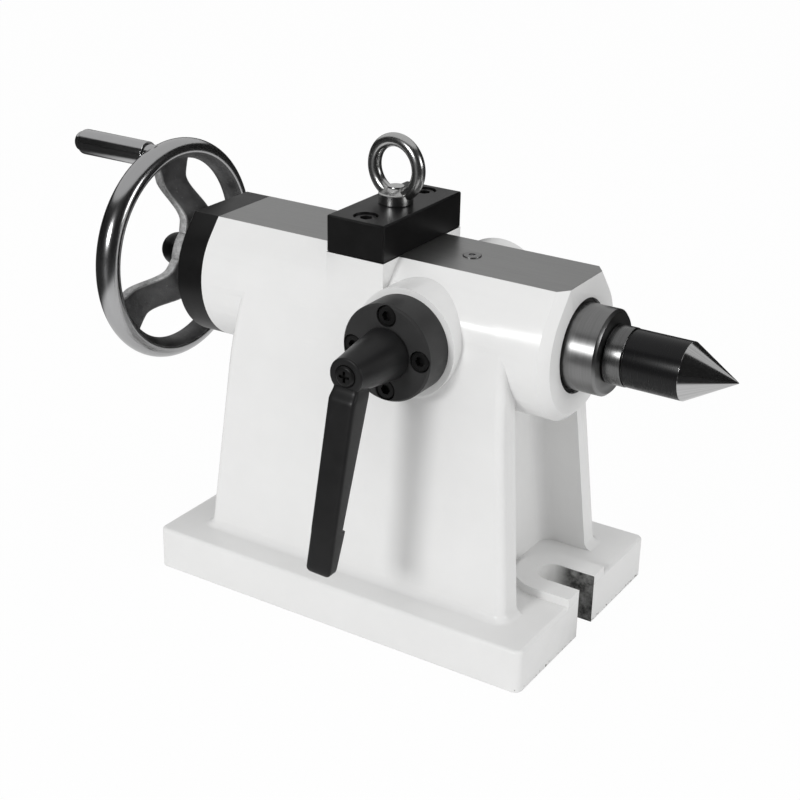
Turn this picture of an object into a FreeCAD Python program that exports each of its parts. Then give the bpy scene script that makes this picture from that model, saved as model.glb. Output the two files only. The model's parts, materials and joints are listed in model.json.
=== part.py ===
import FreeCAD, Part
import math
import os
from FreeCAD import Vector

# Manual tailstock for a rotary table. Millimetres, +Z up, +X towards the work.
# The origin is the middle of the underside of the base, below the spindle axis.

# Base plate and its two open bolt slots
spindle_height = 135.0
base_length = 194.0
base_width = 123.2
base_thickness = 20.0
base_corner_radius = 3.5
base_top_round = 1.6
slot_width = 15.0
slot_depth = 24.0
pad_height = 4.0
pad_margin = 10.0

# Column that carries the barrel
column_foot_length = 159.4
column_foot_width = 90.4
column_top_length = 137.0
column_shoulder_width = 78.8
column_shoulder_height = 113.0
column_blend_height = 141.0
column_shoulder_round = 12.0
column_blend_sink = 1.0
column_corner_radius = 4.0
column_foot_fillet = 4.0
pocket_depth = 21.5
pocket_wall = 12.0
pocket_corner_radius = 6.0

# Barrel with its ground flat on top
barrel_radius = 33.4
barrel_flat_height = 28.9
barrel_flat_width = 39.0
barrel_front = 86.5
barrel_rear_length = 90.0
barrel_front_chamfer = 3.9
quill_radius = 18.7
running_gap = 0.05
fixed_gap = 0.02
wiper_radius = 20.7
wiper_depth = 4.0
wiper_width = 2.5

# Thrust bearings and rear cap
bearing_radius = 21.0
bearing_width = 9.0
bearing_bore_radius = 10.0
race_thickness = 2.6
collar_width = 5.0
collar_radius = 17.0
cap_thickness = 14.5
cap_spigot = 7.0
cap_screw_circle = 26.5
cap_screw_depth = 5.5
cap_round = 0.8

# Lead screw and lead nut
screw_radius = 8.0
screw_front = 15.5
nut_length = 24.0
nut_radius = 14.0
nut_flange_radius = 17.4
nut_flange_width = 4.0
nut_screw_circle = 15.7
nut_screw_radius = 1.1
nut_screw_head = 2.0
nut_screw_height = 1.8
nut_screw_reach = 6.0

# Quill and dead centre
quill_front = 101.0
quill_length = 131.0
quill_chamfer = 1.2
taper_large_radius = 11.9
taper_per_mm = 0.0251
shank_length = 72.0
keyway_width = 6.1
keyway_depth = 4.0
quill_travel_in = 13.0
quill_travel_out = 27.0
centre_collar_radius = 12.7
centre_collar_length = 8.5
centre_body_radius = 12.45
centre_body_length = 25.0
centre_half_angle = 30.0

# Lifting block, eye bolt and oiler
block_length = 29.0
block_width = 64.0
block_height = 16.5
block_offset = 7.1
block_screw_spacing = 47.0
block_screw_depth = 6.8
block_edge = 0.6
eye_collar_radius = 7.7
eye_collar_height = 6.0
eye_ring_height = 15.7
eye_ring_radius = 12.2
eye_ring_section = 3.0
eye_turn = -6.6
eye_shank = 13.0
eye_shank_radius = 4.0
oiler_x = 32.0
oiler_radius = 4.1
oiler_depth = 5.5
oiler_ball_radius = 1.4
oil_hole_radius = 1.2

# Clamp on the front side and guide key on the back side
clamp_x = 23.8
boss_radius = 24.0
boss_front = 40.0
boss_back = 41.0
flange_radius = 21.3
flange_thickness = 14.7
flange_edge = 0.8
flange_screw_circle = 16.3
flange_screw_depth = 5.4
shoe_radius = 8.0
shoe_length = 9.0
stud_radius = 6.0
stud_point = 1.0
key_plug_radius = 8.0
key_tongue_length = 10.0
key_depth_gap = 0.4
plug_length = 8.0
plug_recess = 1.0
plug_socket = 6.0

# Clamping lever
lever_gap = 0.6
hub_root_radius = 11.5
hub_tip_radius = 7.8
hub_length = 28.8
insert_radius = 7.5
lever_lift = 4.0
spring_solid_length = 3.5
spring_wire = 1.0
lever_web = 3.0
lever_web_gap = 0.5
lever_screw_radius = 2.5
lever_head_radius = 4.5
lever_head_height = 3.6
lever_head_proud = 1.0
arm_length = 84.0
arm_root_width = 13.0
arm_tip_width = 12.0
arm_root_thickness = 14.0
arm_tip_thickness = 4.5
arm_lean = 9.7
arm_tilt = 2.0
arm_step = 2.4
arm_step_length = 18.0
arm_top = 6.0
arm_edge = 0.9

# Handwheel and its crank handle
wheel_gap = 1.5
rim_setback = 27.7
rim_radius = 49.0
rim_width = 12.4
rim_depth = 9.6
rim_end_radius = 3.4
hub_radius = 15.0
hub_width = 13.0
hub_round = 1.2
seat_radius = 7.0
stub_radius = 5.0
spoke_inset = 2.2
spoke_thickness = 5.2
spoke_width = 16.5
spoke_flare = 27.0
spoke_bulge = 1.2
spoke_angles = (92.0, 212.0, 332.0)
wheel_key_width = 4.0
washer_thickness = 2.0
washer_radius = 10.0
cap_nut_height = 18.0
cap_nut_flats = 17.0
handle_angle = 102.0
handle_length = 40.0
handle_radius = 6.1
handle_rim_radius = 5.9
handle_gap = 0.3
handle_head = 3.1
handle_pin_radius = 3.2
handle_thread_radius = 2.6

# Metric screws: size, then head radius, head height and socket width
screw_sizes = {5: (4.25, 5.0, 4.0), 6: (5.0, 6.0, 5.0)}
head_gap = 0.45
hole_gap = 0.25
engagement = 10.5
tap_runout = 1.5

X_AXIS = Vector(1, 0, 0)
Y_AXIS = Vector(0, 1, 0)
Z_AXIS = Vector(0, 0, 1)

flat_z = spindle_height + barrel_flat_height
base_end = base_length / 2
block_x = -block_offset
barrel_rear = -barrel_rear_length
bore_radius = quill_radius + running_gap
cap_rear = barrel_rear - cap_thickness
bearing_rear = barrel_rear + cap_spigot
bearing_front = bearing_rear + 2 * bearing_width + collar_width
wheel_front = cap_rear - wheel_gap
hub_rear = wheel_front - hub_width
spoke_front_plane = hub_rear + spoke_inset
rim_plane = cap_rear - rim_setback
nut_seat = hub_rear - washer_thickness
quill_rear = quill_front - quill_length
block_top = flat_z + block_height
flange_face = -boss_front - flange_thickness
lever_root = flange_face - lever_gap
lever_end = lever_root - hub_length
lever_head_face = lever_end - lever_head_proud
lever_head_seat = lever_head_face + lever_head_height
spring_gap = 2 * running_gap
lever_web_face = lever_head_seat + lever_lift + spring_solid_length + 2 * spring_gap
lever_web_back = lever_web_face + lever_web
insert_end = lever_web_back + lever_web_gap
stud_end = insert_end + 2 * stud_point
tap_depth = engagement + tap_runout
shank_end = quill_front - shank_length
handle_turn = math.radians(handle_angle)
handle_y = rim_radius * math.cos(handle_turn)
handle_z = spindle_height + rim_radius * math.sin(handle_turn)
handle_root = rim_plane - rim_width / 2 - handle_gap
handle_end = handle_root - handle_length


def point(x, y=0.0, z=0.0):
    return Vector(x, y, z)


def box(x0, x1, y0, y1, z0, z1):
    return Part.makeBox(x1 - x0, y1 - y0, z1 - z0, point(x0, y0, z0))


def rod_x(radius, x0, x1, y=0.0, z=spindle_height):
    """Cylinder along X, by default on the spindle axis."""
    low = min(x0, x1)
    return Part.makeCylinder(radius, abs(x1 - x0), point(low, y, z), X_AXIS)


def rod_y(radius, y0, y1, x=clamp_x, z=spindle_height):
    """Cylinder along Y, by default on the clamp axis."""
    low = min(y0, y1)
    return Part.makeCylinder(radius, abs(y1 - y0), point(x, low, z), Y_AXIS)


def rod_z(radius, z0, z1, x, y=0.0):
    return Part.makeCylinder(radius, z1 - z0, point(x, y, z0), Z_AXIS)


def ring_x(outer, inner, x0, x1):
    return rod_x(outer, x0, x1).cut(rod_x(inner, x0 - 1, x1 + 1))


def turned_x(profile):
    """Solid of revolution on the spindle axis from (x, radius) pairs."""
    corners = [point(x, 0, spindle_height + r) for x, r in profile]
    face = Part.Face(Part.makePolygon(corners + corners[:1]))
    return face.revolve(point(0, 0, spindle_height), X_AXIS, 360)


def turned_y(profile):
    """Solid of revolution on the clamp axis from (y, radius) pairs."""
    corners = [point(clamp_x + r, y, spindle_height) for y, r in profile]
    face = Part.Face(Part.makePolygon(corners + corners[:1]))
    return face.revolve(point(clamp_x, 0, spindle_height), Y_AXIS, 360)


def rounded_rectangle(length, width, radius, z, x=0.0, y=0.0):
    """Closed wire in a level plane with its four corners rounded."""
    a = length / 2
    b = width / 2
    edges = []
    for index, (sx, sy) in enumerate(((1, 1), (-1, 1), (-1, -1), (1, -1))):
        centre = point(x + sx * (a - radius), y + sy * (b - radius), z)
        start = index * 90
        edges.append(Part.makeCircle(radius, centre, Z_AXIS, start, start + 90))
    ends = [(edge.Vertexes[0].Point, edge.Vertexes[-1].Point) for edge in edges]
    for index in range(4):
        following = (index + 1) % 4
        edges.append(Part.makeLine(ends[index][1], ends[following][0]))
    return Part.Wire(Part.__sortEdges__(edges))


def hexagon(flats, radius_axis, place, depth, turn=0.0):
    """Hexagonal prism: flats is the width, place its start, along radius_axis."""
    corner = flats / math.sqrt(3)
    if abs(radius_axis.z) > 0.5:
        first, second = X_AXIS, Y_AXIS
    elif abs(radius_axis.x) > 0.5:
        first, second = Y_AXIS, Z_AXIS
    else:
        first, second = X_AXIS, Z_AXIS
    corners = []
    for index in range(6):
        angle = math.radians(60 * index + turn)
        corners.append(place + first * (corner * math.cos(angle)) + second * (corner * math.sin(angle)))
    face = Part.Face(Part.makePolygon(corners + corners[:1]))
    return face.extrude(radius_axis * depth)


def socket_screw(size, length, seat, direction):
    """Socket head cap screw with its head seated at seat, shank along direction."""
    head_radius, head_height, socket = screw_sizes[size]
    back = direction * -1
    head = Part.makeCylinder(head_radius, head_height, seat, back)
    rim = [edge for edge in head.Edges if edge.Length > 6.2 * head_radius]
    rim = [edge for edge in rim if (edge.CenterOfMass - seat).Length > head_height / 2]
    head = head.makeChamfer(0.4, rim)
    shank = Part.makeCylinder(size / 2, length, seat, direction)
    top = seat + back * head_height
    return head.fuse(shank).cut(hexagon(socket, direction, top, size * 0.5))


def counterbore(size, depth, seat, direction, reach):
    """Hole for a socket screw: clearance round the head and round the shank."""
    head_radius = screw_sizes[size][0] + head_gap
    wide = Part.makeCylinder(head_radius, depth, seat, direction * -1)
    return wide.fuse(Part.makeCylinder(size / 2 + hole_gap, reach, seat, direction))


def barrel_profile(x0, x1):
    """Round bar under a level flat, joined by two flanks that leave the circle as tangents."""
    half = barrel_flat_width / 2
    reach = math.hypot(half, barrel_flat_height)
    turn = math.atan2(half, barrel_flat_height) + math.acos(barrel_radius / reach)
    side_y = barrel_radius * math.sin(turn)
    side_z = spindle_height + barrel_radius * math.cos(turn)
    left = point(x0, -side_y, side_z)
    right = point(x0, side_y, side_z)
    below = Part.Arc(left, point(x0, 0, spindle_height - barrel_radius), right).toShape()
    flanks = [Part.makeLine(right, point(x0, half, flat_z)), Part.makeLine(point(x0, -half, flat_z), left)]
    top = Part.makeLine(point(x0, half, flat_z), point(x0, -half, flat_z))
    outline = Part.Wire([below, flanks[0], top, flanks[1]])
    return Part.Face(outline).extrude(X_AXIS * (x1 - x0))


def circle_places(radius, angles, across=0.0):
    """Pairs of (across, height) round the spindle height."""
    places = []
    for angle in angles:
        turn = math.radians(angle)
        places.append((across + radius * math.cos(turn), spindle_height + radius * math.sin(turn)))
    return places


def flange_places():
    return circle_places(flange_screw_circle, (0, 90, 180, 270), clamp_x)


def cap_places():
    return circle_places(cap_screw_circle, (42, 138, 222, 318))


def nut_screw_places():
    return circle_places(nut_screw_circle, (90, 210, 330))


def column_length(z):
    """Length of the column at a height, from the lean of its two ends."""
    rise = (z - base_thickness) / (spindle_height - base_thickness)
    return column_foot_length + (column_top_length - column_foot_length) * rise


def column_sections():
    """Heights and widths of the column; a quadratic curve turns the shoulder in towards the barrel."""
    rise = column_blend_height - spindle_height
    blend_width = 2 * math.sqrt(barrel_radius ** 2 - rise ** 2) - column_blend_sink
    lower = (column_shoulder_width - column_foot_width) / (column_shoulder_height - base_thickness)
    upper = (blend_width - column_shoulder_width) / (column_blend_height - column_shoulder_height)
    start = column_shoulder_width - lower * column_shoulder_round
    end = column_shoulder_width + upper * column_shoulder_round
    sections = [(base_thickness, column_foot_width)]
    for share in (0.0, 1 / 3, 2 / 3, 1.0):
        rest = 1 - share
        width = start * rest ** 2 + 2 * column_shoulder_width * share * rest + end * share ** 2
        sections.append((column_shoulder_height + (2 * share - 1) * column_shoulder_round, width))
    return sections + [(column_blend_height, blend_width)]


def column_body():
    """Tapered column whose shoulders lean inwards until they sink into the barrel."""
    wires = []
    for z, width in column_sections():
        wires.append(rounded_rectangle(column_length(z), width, column_corner_radius, z))
    return Part.makeLoft(wires, True, True)


def base_and_column():
    outline = Part.Face(rounded_rectangle(base_length, base_width, base_corner_radius, 0))
    base = outline.extrude(point(0, 0, base_thickness))
    rim = [edge for edge in base.Edges if edge.CenterOfMass.z > base_thickness - 0.01]
    base = base.makeFillet(base_top_round, rim)
    column = column_body()
    body = base.fuse(column)
    around = []
    for edge in body.Edges:
        low = edge.BoundBox
        level = low.ZMax - low.ZMin < 0.01 and abs(low.ZMin - base_thickness) < 0.01
        inside = low.XMax < column_foot_length / 2 + 0.1 and low.XMin > -column_foot_length / 2 - 0.1
        inside = inside and low.YMax < column_foot_width / 2 + 0.1
        if level and inside and low.YMin > -column_foot_width / 2 - 0.1:
            around.append(edge)
    return body.makeFillet(column_foot_fillet, around)


def end_pocket(side):
    """Recess between the two side walls of the column, open at one end."""
    narrowing = (column_foot_width - column_shoulder_width) / (column_shoulder_height - base_thickness)
    wires = []
    for z in (base_thickness, spindle_height):
        width = column_foot_width - 2 * pocket_wall - narrowing * (z - base_thickness)
        middle = side * column_length(z) / 2
        wires.append(rounded_rectangle(2 * pocket_depth, width, pocket_corner_radius, z, middle))
    return Part.makeLoft(wires, True)


def slot_pad(side):
    radius = slot_width / 2 + pad_margin
    centre = base_end - slot_depth + slot_width / 2
    top = base_thickness + pad_height
    disc = rod_z(radius, base_thickness - 1, top, side * centre)
    near, far = sorted((side * centre, side * base_end))
    return disc.fuse(box(near, far, -radius, radius, base_thickness - 1, top))


def bolt_slot(side):
    centre = base_end - slot_depth + slot_width / 2
    top = base_thickness + pad_height + 1
    hole = rod_z(slot_width / 2, -1, top, side * centre)
    near, far = sorted((side * centre, side * (base_end + 1)))
    return hole.fuse(box(near, far, -slot_width / 2, slot_width / 2, -1, top))


def body_casting():
    body = base_and_column()
    for side in (1, -1):
        body = body.cut(end_pocket(side)).fuse(slot_pad(side))
    barrel = barrel_profile(barrel_rear, barrel_front)
    lip = [edge for edge in barrel.Edges if edge.CenterOfMass.x > barrel_front - 0.01]
    lip = [edge for edge in lip if edge.CenterOfMass.z < flat_z - 0.01]
    barrel = barrel.makeChamfer(barrel_front_chamfer, lip)
    boss = rod_y(boss_radius, -boss_front, boss_back)
    saddle = box(block_x - block_length / 2, block_x + block_length / 2,
                 -block_width / 2, block_width / 2, spindle_height, flat_z)
    body = body.fuse([barrel, boss, saddle])
    side = barrel_radius + 2
    body = body.cut(box(barrel_rear - 1, barrel_front + 1, -side, side, flat_z, flat_z + side))
    for side in (1, -1):
        body = body.cut(bolt_slot(side))
    return body.cut(casting_bores()).removeSplitter()


def casting_bores():
    """Every bored or tapped hole of the casting, joined into one tool."""
    tools = [rod_x(bore_radius, barrel_rear - 1, barrel_front + 1)]
    tools.append(rod_x(wiper_radius, barrel_front - wiper_depth, barrel_front + 1))
    tools.append(rod_x(bearing_radius, barrel_rear - 1, bearing_front))
    tools.append(rod_y(shoe_radius + running_gap, -boss_front - 1, 0))
    tools.append(rod_y(key_plug_radius + fixed_gap, 0, boss_back + 1))
    tools.append(rod_z(oiler_radius + fixed_gap, flat_z - oiler_depth - tap_runout, flat_z + 1, oiler_x))
    tools.append(rod_z(oil_hole_radius, spindle_height, flat_z, oiler_x))
    tools.append(rod_z(eye_shank_radius + hole_gap, flat_z - tap_runout, flat_z + 1, block_x))
    for y in (-block_screw_spacing / 2, block_screw_spacing / 2):
        tools.append(rod_z(3 + hole_gap, flat_z - tap_depth, flat_z + 1, block_x, y))
    for x, z in flange_places():
        tools.append(rod_y(2.5 + hole_gap, -boss_front - 1, -boss_front + tap_depth, x, z))
    for y, z in cap_places():
        tools.append(rod_x(2.5 + hole_gap, barrel_rear - 1, barrel_rear + tap_depth, y, z))
    return tools[0].fuse(tools[1:])


def rear_cap():
    plate = barrel_profile(cap_rear, barrel_rear)
    edges = [edge for edge in plate.Edges if edge.CenterOfMass.x < cap_rear + 0.01]
    plate = plate.makeChamfer(cap_round, edges)
    spigot = rod_x(bearing_radius - fixed_gap, barrel_rear - 1, bearing_rear)
    cap = plate.fuse(spigot).cut(rod_x(screw_radius + running_gap, cap_rear - 1, bearing_rear + 1))
    for y, z in cap_places():
        seat = point(cap_rear + cap_screw_depth, y, z)
        cap = cap.cut(counterbore(5, cap_screw_depth + 1, seat, X_AXIS, cap_thickness))
    return cap.removeSplitter()


def rear_cap_screws():
    length = cap_thickness - cap_screw_depth + engagement
    seat_x = cap_rear + cap_screw_depth
    return [socket_screw(5, length, point(seat_x, y, z), X_AXIS) for y, z in cap_places()]


def wiper_ring():
    front = barrel_front - wiper_depth + wiper_width
    return ring_x(wiper_radius - fixed_gap, bore_radius, barrel_front - wiper_depth, front)


def thrust_bearing(x0):
    """Two grooved races with the caged ball row between them."""
    outer = bearing_radius - running_gap
    inner = bearing_bore_radius + running_gap
    x1 = x0 + bearing_width
    cage_radius = (outer + inner) / 2
    margin = race_thickness * 0.3
    ball = bearing_width / 2 - race_thickness + margin
    groove = Part.makeTorus(cage_radius, ball, point(x0 + bearing_width / 2, 0, spindle_height), X_AXIS)
    races = [ring_x(outer, inner, x0 + running_gap, x0 + race_thickness).cut(groove)]
    races.append(ring_x(outer, inner, x1 - race_thickness, x1 - running_gap).cut(groove))
    cage_gap = race_thickness / 6
    cage = ring_x(outer - 2, inner + 2, x0 + race_thickness + cage_gap, x1 - race_thickness - cage_gap)
    return races + [cage]


def lead_screw():
    """Trapezoidal screw, thrust collar, journals, handwheel seat and stub."""
    stub = nut_seat - cap_nut_height * 0.7
    profile = [(screw_front, 0), (screw_front, screw_radius - 1.5), (screw_front - 1.5, screw_radius)]
    profile += [(bearing_front + 4, screw_radius), (bearing_front + 4, bearing_bore_radius)]
    profile += [(bearing_front - bearing_width, bearing_bore_radius)]
    profile += [(bearing_front - bearing_width, collar_radius)]
    profile += [(bearing_rear + bearing_width, collar_radius)]
    profile += [(bearing_rear + bearing_width, bearing_bore_radius)]
    journal_end = bearing_rear + running_gap
    profile += [(journal_end, bearing_bore_radius), (journal_end, screw_radius)]
    profile += [(wheel_front, screw_radius), (wheel_front, seat_radius)]
    profile += [(hub_rear + 1, seat_radius), (hub_rear + 1, stub_radius), (stub, stub_radius), (stub, 0)]
    return turned_x(profile).cut(wheel_key_slot(0))


def wheel_key_slot(gap):
    half = wheel_key_width / 2 + gap
    low = spindle_height + seat_radius - wheel_key_width / 2 - gap
    high = spindle_height + seat_radius + wheel_key_width / 2 + gap
    return box(hub_rear + 3 - gap, wheel_front - 1 + gap, -half, half, low, high)


def lead_nut():
    flange = rod_x(nut_flange_radius, quill_rear - nut_flange_width, quill_rear)
    sleeve = rod_x(nut_radius - fixed_gap, quill_rear, quill_rear + nut_length)
    nut = flange.fuse(sleeve)
    nut = nut.cut(rod_x(screw_radius + running_gap, quill_rear - 10, quill_rear + nut_length + 1))
    for place in nut_screw_places():
        nut = nut.cut(rod_x(nut_screw_radius + hole_gap, quill_rear - 10, quill_rear + 1, *place))
        nut = nut.cut(rod_x(nut_screw_head + hole_gap, quill_rear - 10, nut_screw_seat(), *place))
    return nut.removeSplitter()


def nut_screw_seat():
    return quill_rear - nut_flange_width + nut_screw_height + 0.4


def lead_nut_screws():
    """Small slotted screws that hold the nut flange to the quill."""
    screws = []
    seat = nut_screw_seat()
    top = seat - nut_screw_height
    for y, z in nut_screw_places():
        head = rod_x(nut_screw_head, top, seat, y, z)
        slot = box(top - 1, top + 0.7, y - 0.3, y + 0.3, z - 3, z + 3)
        shank = rod_x(nut_screw_radius, seat, quill_rear + nut_screw_reach, y, z)
        screws.append(head.cut(slot).fuse(shank))
    return screws


def quill():
    """Ground sleeve with its taper bore, nut seat and guide keyway."""
    body = rod_x(quill_radius, quill_rear, quill_front)
    ends = [edge for edge in body.Edges if edge.Length > 6 * quill_radius]
    body = body.makeChamfer(quill_chamfer, ends)
    narrow = taper_large_radius - taper_per_mm * (shank_length + 1)
    taper = turned_x([(quill_front + 1, 0), (quill_front + 1, taper_large_radius + taper_per_mm),
                      (shank_end - 1, narrow), (shank_end - 1, 0)])
    tools = [taper, rod_x(screw_radius + 1.2, quill_rear - 1, shank_end)]
    tools.append(rod_x(nut_radius, quill_rear - 1, quill_rear + nut_length))
    half = keyway_width / 2
    margin = key_tongue_length / 2 + 2
    tools.append(box(clamp_x - quill_travel_out - margin, clamp_x + quill_travel_in + margin,
                     quill_radius - keyway_depth, quill_radius + 1,
                     spindle_height - half, spindle_height + half))
    for place in nut_screw_places():
        reach = quill_rear + nut_screw_reach + tap_runout
        tools.append(rod_x(nut_screw_radius + hole_gap, quill_rear - 1, reach, *place))
    return body.cut(tools).removeSplitter()


def dead_centre():
    """Taper shank, ground collar, blackened body and sixty degree point."""
    small = taper_large_radius - taper_per_mm * (shank_length - 1) - fixed_gap
    large = taper_large_radius - taper_per_mm - fixed_gap
    collar_end = quill_front + centre_collar_length
    cone_start = collar_end + centre_body_length
    tip = cone_start + centre_body_radius / math.tan(math.radians(centre_half_angle))
    profile = [(shank_end + 1, 0), (shank_end + 1, small - 0.6), (shank_end + 1.6, small)]
    profile += [(quill_front - 1, large), (quill_front - 1, large - 0.5), (quill_front + 0.4, large - 0.5)]
    profile += [(quill_front + 0.4, centre_collar_radius - 0.5), (quill_front + 0.9, centre_collar_radius)]
    profile += [(collar_end - 0.5, centre_collar_radius), (collar_end, centre_collar_radius - 0.5)]
    profile += [(collar_end, centre_body_radius - 0.8), (collar_end + 0.8, centre_body_radius)]
    profile += [(cone_start, centre_body_radius), (tip - 0.5, 0.3), (tip - 0.3, 0)]
    return turned_x(profile)


def lifting_block():
    block = box(block_x - block_length / 2, block_x + block_length / 2,
                -block_width / 2, block_width / 2, flat_z, block_top)
    block = block.makeChamfer(block_edge, block.Edges)
    for y in (-block_screw_spacing / 2, block_screw_spacing / 2):
        seat = point(block_x, y, block_top - block_screw_depth)
        block = block.cut(counterbore(6, block_screw_depth + 1, seat, Z_AXIS * -1, block_height))
    return block.cut(rod_z(eye_shank_radius + fixed_gap, flat_z - 1, block_top + 1, block_x))


def lifting_block_screws():
    length = block_height - block_screw_depth + engagement
    seat_z = block_top - block_screw_depth
    places = (-block_screw_spacing / 2, block_screw_spacing / 2)
    return [socket_screw(6, length, point(block_x, y, seat_z), Z_AXIS * -1) for y in places]


def eye_bolt():
    """Ring on a flared collar with a plain shank."""
    ring_z = block_top + eye_ring_height
    ring = Part.makeTorus(eye_ring_radius, eye_ring_section, point(block_x, 0, ring_z), Y_AXIS)
    corners = [(0, 0), (eye_collar_radius - 0.5, 0), (eye_collar_radius, 0.5)]
    corners += [(eye_collar_radius, eye_collar_height - 1.2), (eye_collar_radius - 1.4, eye_collar_height)]
    corners += [(0, eye_collar_height)]
    wire = Part.makePolygon([point(block_x + r, 0, block_top + h) for r, h in corners + corners[:1]])
    collar = Part.Face(wire).revolve(point(block_x, 0, 0), Z_AXIS, 360)
    hollow = Part.makeCylinder(eye_ring_radius - eye_ring_section, 30, point(block_x, -15, ring_z), Y_AXIS)
    body = ring.fuse(collar.cut(hollow))
    body.rotate(point(block_x, 0, 0), Z_AXIS, eye_turn)
    shank = rod_z(eye_shank_radius, block_top - eye_shank, block_top + 1, block_x)
    return body.fuse(shank).removeSplitter()


def oiler():
    body = rod_z(oiler_radius, flat_z - oiler_depth, flat_z + 0.5, oiler_x)
    lip = [edge for edge in body.Edges if edge.CenterOfMass.z > flat_z]
    body = body.makeFillet(0.4, [edge for edge in lip if edge.Length > 5 * oiler_radius])
    hole = oiler_ball_radius + running_gap
    return body.cut(rod_z(hole, flat_z - oiler_depth - 1, flat_z + 1, oiler_x))


def oiler_ball():
    return Part.makeSphere(oiler_ball_radius, point(oiler_x, 0, flat_z - oiler_ball_radius + 0.1))


def clamp_flange():
    flange = rod_y(flange_radius, flange_face, -boss_front)
    rim = [edge for edge in flange.Edges if edge.CenterOfMass.y < flange_face + 0.01]
    flange = flange.makeChamfer(flange_edge, rim)
    flange = flange.cut(rod_y(stud_radius + running_gap, flange_face - 1, -boss_front + 1))
    for x, z in flange_places():
        seat = point(x, flange_face + flange_screw_depth, z)
        flange = flange.cut(counterbore(5, flange_screw_depth + 1, seat, Y_AXIS, flange_thickness))
    return flange


def clamp_flange_screws():
    length = flange_thickness - flange_screw_depth + engagement
    seat_y = flange_face + flange_screw_depth
    return [socket_screw(5, length, point(x, seat_y, z), Y_AXIS) for x, z in flange_places()]


def clamp_shoe():
    """Brass pad whose end follows the curve of the quill."""
    shoe = rod_y(shoe_radius, -quill_radius - shoe_length, -quill_radius + shoe_radius / 2)
    return shoe.cut(rod_x(bore_radius, clamp_x - 2 * shoe_radius, clamp_x + 2 * shoe_radius))


def clamp_screw():
    start = -quill_radius - shoe_length - running_gap
    narrow = stud_radius - stud_point
    return turned_y([(start, 0), (start, narrow), (start - stud_point, stud_radius),
                     (stud_end + stud_point, stud_radius), (stud_end, narrow), (stud_end, 0)])


def lever_insert():
    """Steel sleeve fixed on the stud, which the lever hub slides over."""
    start = lever_root - 0.2
    sleeve = rod_y(insert_radius, start, insert_end)
    sleeve = sleeve.cut(rod_y(stud_radius, start + 1, stud_end))
    return sleeve.cut(rod_y(lever_screw_radius, insert_end - 1, stud_end + 1))


def lever_screw():
    """Retaining screw with a cross recess."""
    shank = rod_y(lever_screw_radius, lever_head_seat, stud_end)
    head = rod_y(lever_head_radius, lever_head_face, lever_head_seat)
    rim = [edge for edge in head.Edges if edge.CenterOfMass.y < lever_head_face + 0.01]
    head = head.makeFillet(lever_head_height / 3, rim)
    screw = head.fuse(shank)
    reach = lever_head_radius * 0.55
    depth = lever_head_height * 0.45
    for wide, tall in ((reach, 0.6), (0.6, reach)):
        screw = screw.cut(box(clamp_x - wide, clamp_x + wide, lever_head_face - 1, lever_head_face + depth,
                              spindle_height - tall, spindle_height + tall))
    return screw


def lever_spring():
    """Coil spring between the lever web and the screw head, as a plain sleeve."""
    outer = lever_head_radius - 0.3
    sleeve = rod_y(outer, lever_head_seat + spring_gap, lever_web_face - spring_gap)
    return sleeve.cut(rod_y(outer - spring_wire, lever_head_seat - 1, lever_web_face + 1))


def lever_arm():
    """Tapered bar that leans outwards, with a step on its inner face by the tip."""
    lean = math.tan(math.radians(arm_lean))
    step_drop = arm_length - arm_step_length
    sections = ((-arm_top, 0.0, 0.0), (step_drop, 0.0, 0.0), (step_drop + 0.5, arm_step, 0.0),
                (arm_length - 2.0, arm_step * 0.6, 0.0), (arm_length, arm_step * 0.6, 1.6))
    wires = []
    for drop, step, shrink in sections:
        share = (arm_top + drop) / (arm_length + arm_top)
        thickness = arm_root_thickness + (arm_tip_thickness - arm_root_thickness) * share + step
        front = lever_end - 0.3 - lean * (drop + arm_top)
        middle = front + thickness / 2
        height = spindle_height - drop
        width = arm_root_width + (arm_tip_width - arm_root_width) * share - shrink
        wires.append(rounded_rectangle(width, thickness - shrink, arm_edge, height, clamp_x, middle))
    arm = Part.makeLoft(wires, True, True)
    arm.rotate(point(clamp_x, 0, spindle_height), Y_AXIS, arm_tilt)
    return arm


def clamp_lever():
    """One casting: a conical hub and the arm that grows out of its outer end."""
    shoulder = lever_root - hub_length * 0.2
    hub = turned_y([(lever_root, 0), (lever_root, hub_root_radius), (shoulder, hub_root_radius - 0.6),
                    (lever_end + 0.8, hub_tip_radius), (lever_end, hub_tip_radius - 0.8), (lever_end, 0)])
    body = hub.fuse(lever_arm())
    tools = [rod_y(insert_radius + running_gap, lever_root + 1, lever_web_back)]
    tools.append(rod_y(lever_screw_radius + running_gap, lever_web_back + 1, lever_web_face - 1))
    tools.append(rod_y(lever_head_radius + running_gap, lever_web_face, lever_head_face - 8))
    return body.cut(tools).removeSplitter()


def guide_key():
    """Plug with a flat tongue that runs in the keyway of the quill."""
    inner = quill_radius - keyway_depth + key_depth_gap
    plug = rod_y(key_plug_radius, quill_radius + 3 * key_depth_gap, boss_back - plug_recess - plug_length)
    half = keyway_width / 2 - running_gap
    reach = key_tongue_length / 2
    tongue = box(clamp_x - reach, clamp_x + reach, inner, quill_radius + 2,
                 spindle_height - half, spindle_height + half)
    return plug.fuse(tongue)


def guide_plug():
    outer = boss_back - plug_recess
    plug = rod_y(key_plug_radius, outer - plug_length, outer)
    middle = outer - plug_length / 2
    return plug.cut(hexagon(plug_socket, Y_AXIS, point(clamp_x, middle, spindle_height), plug_length))


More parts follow.
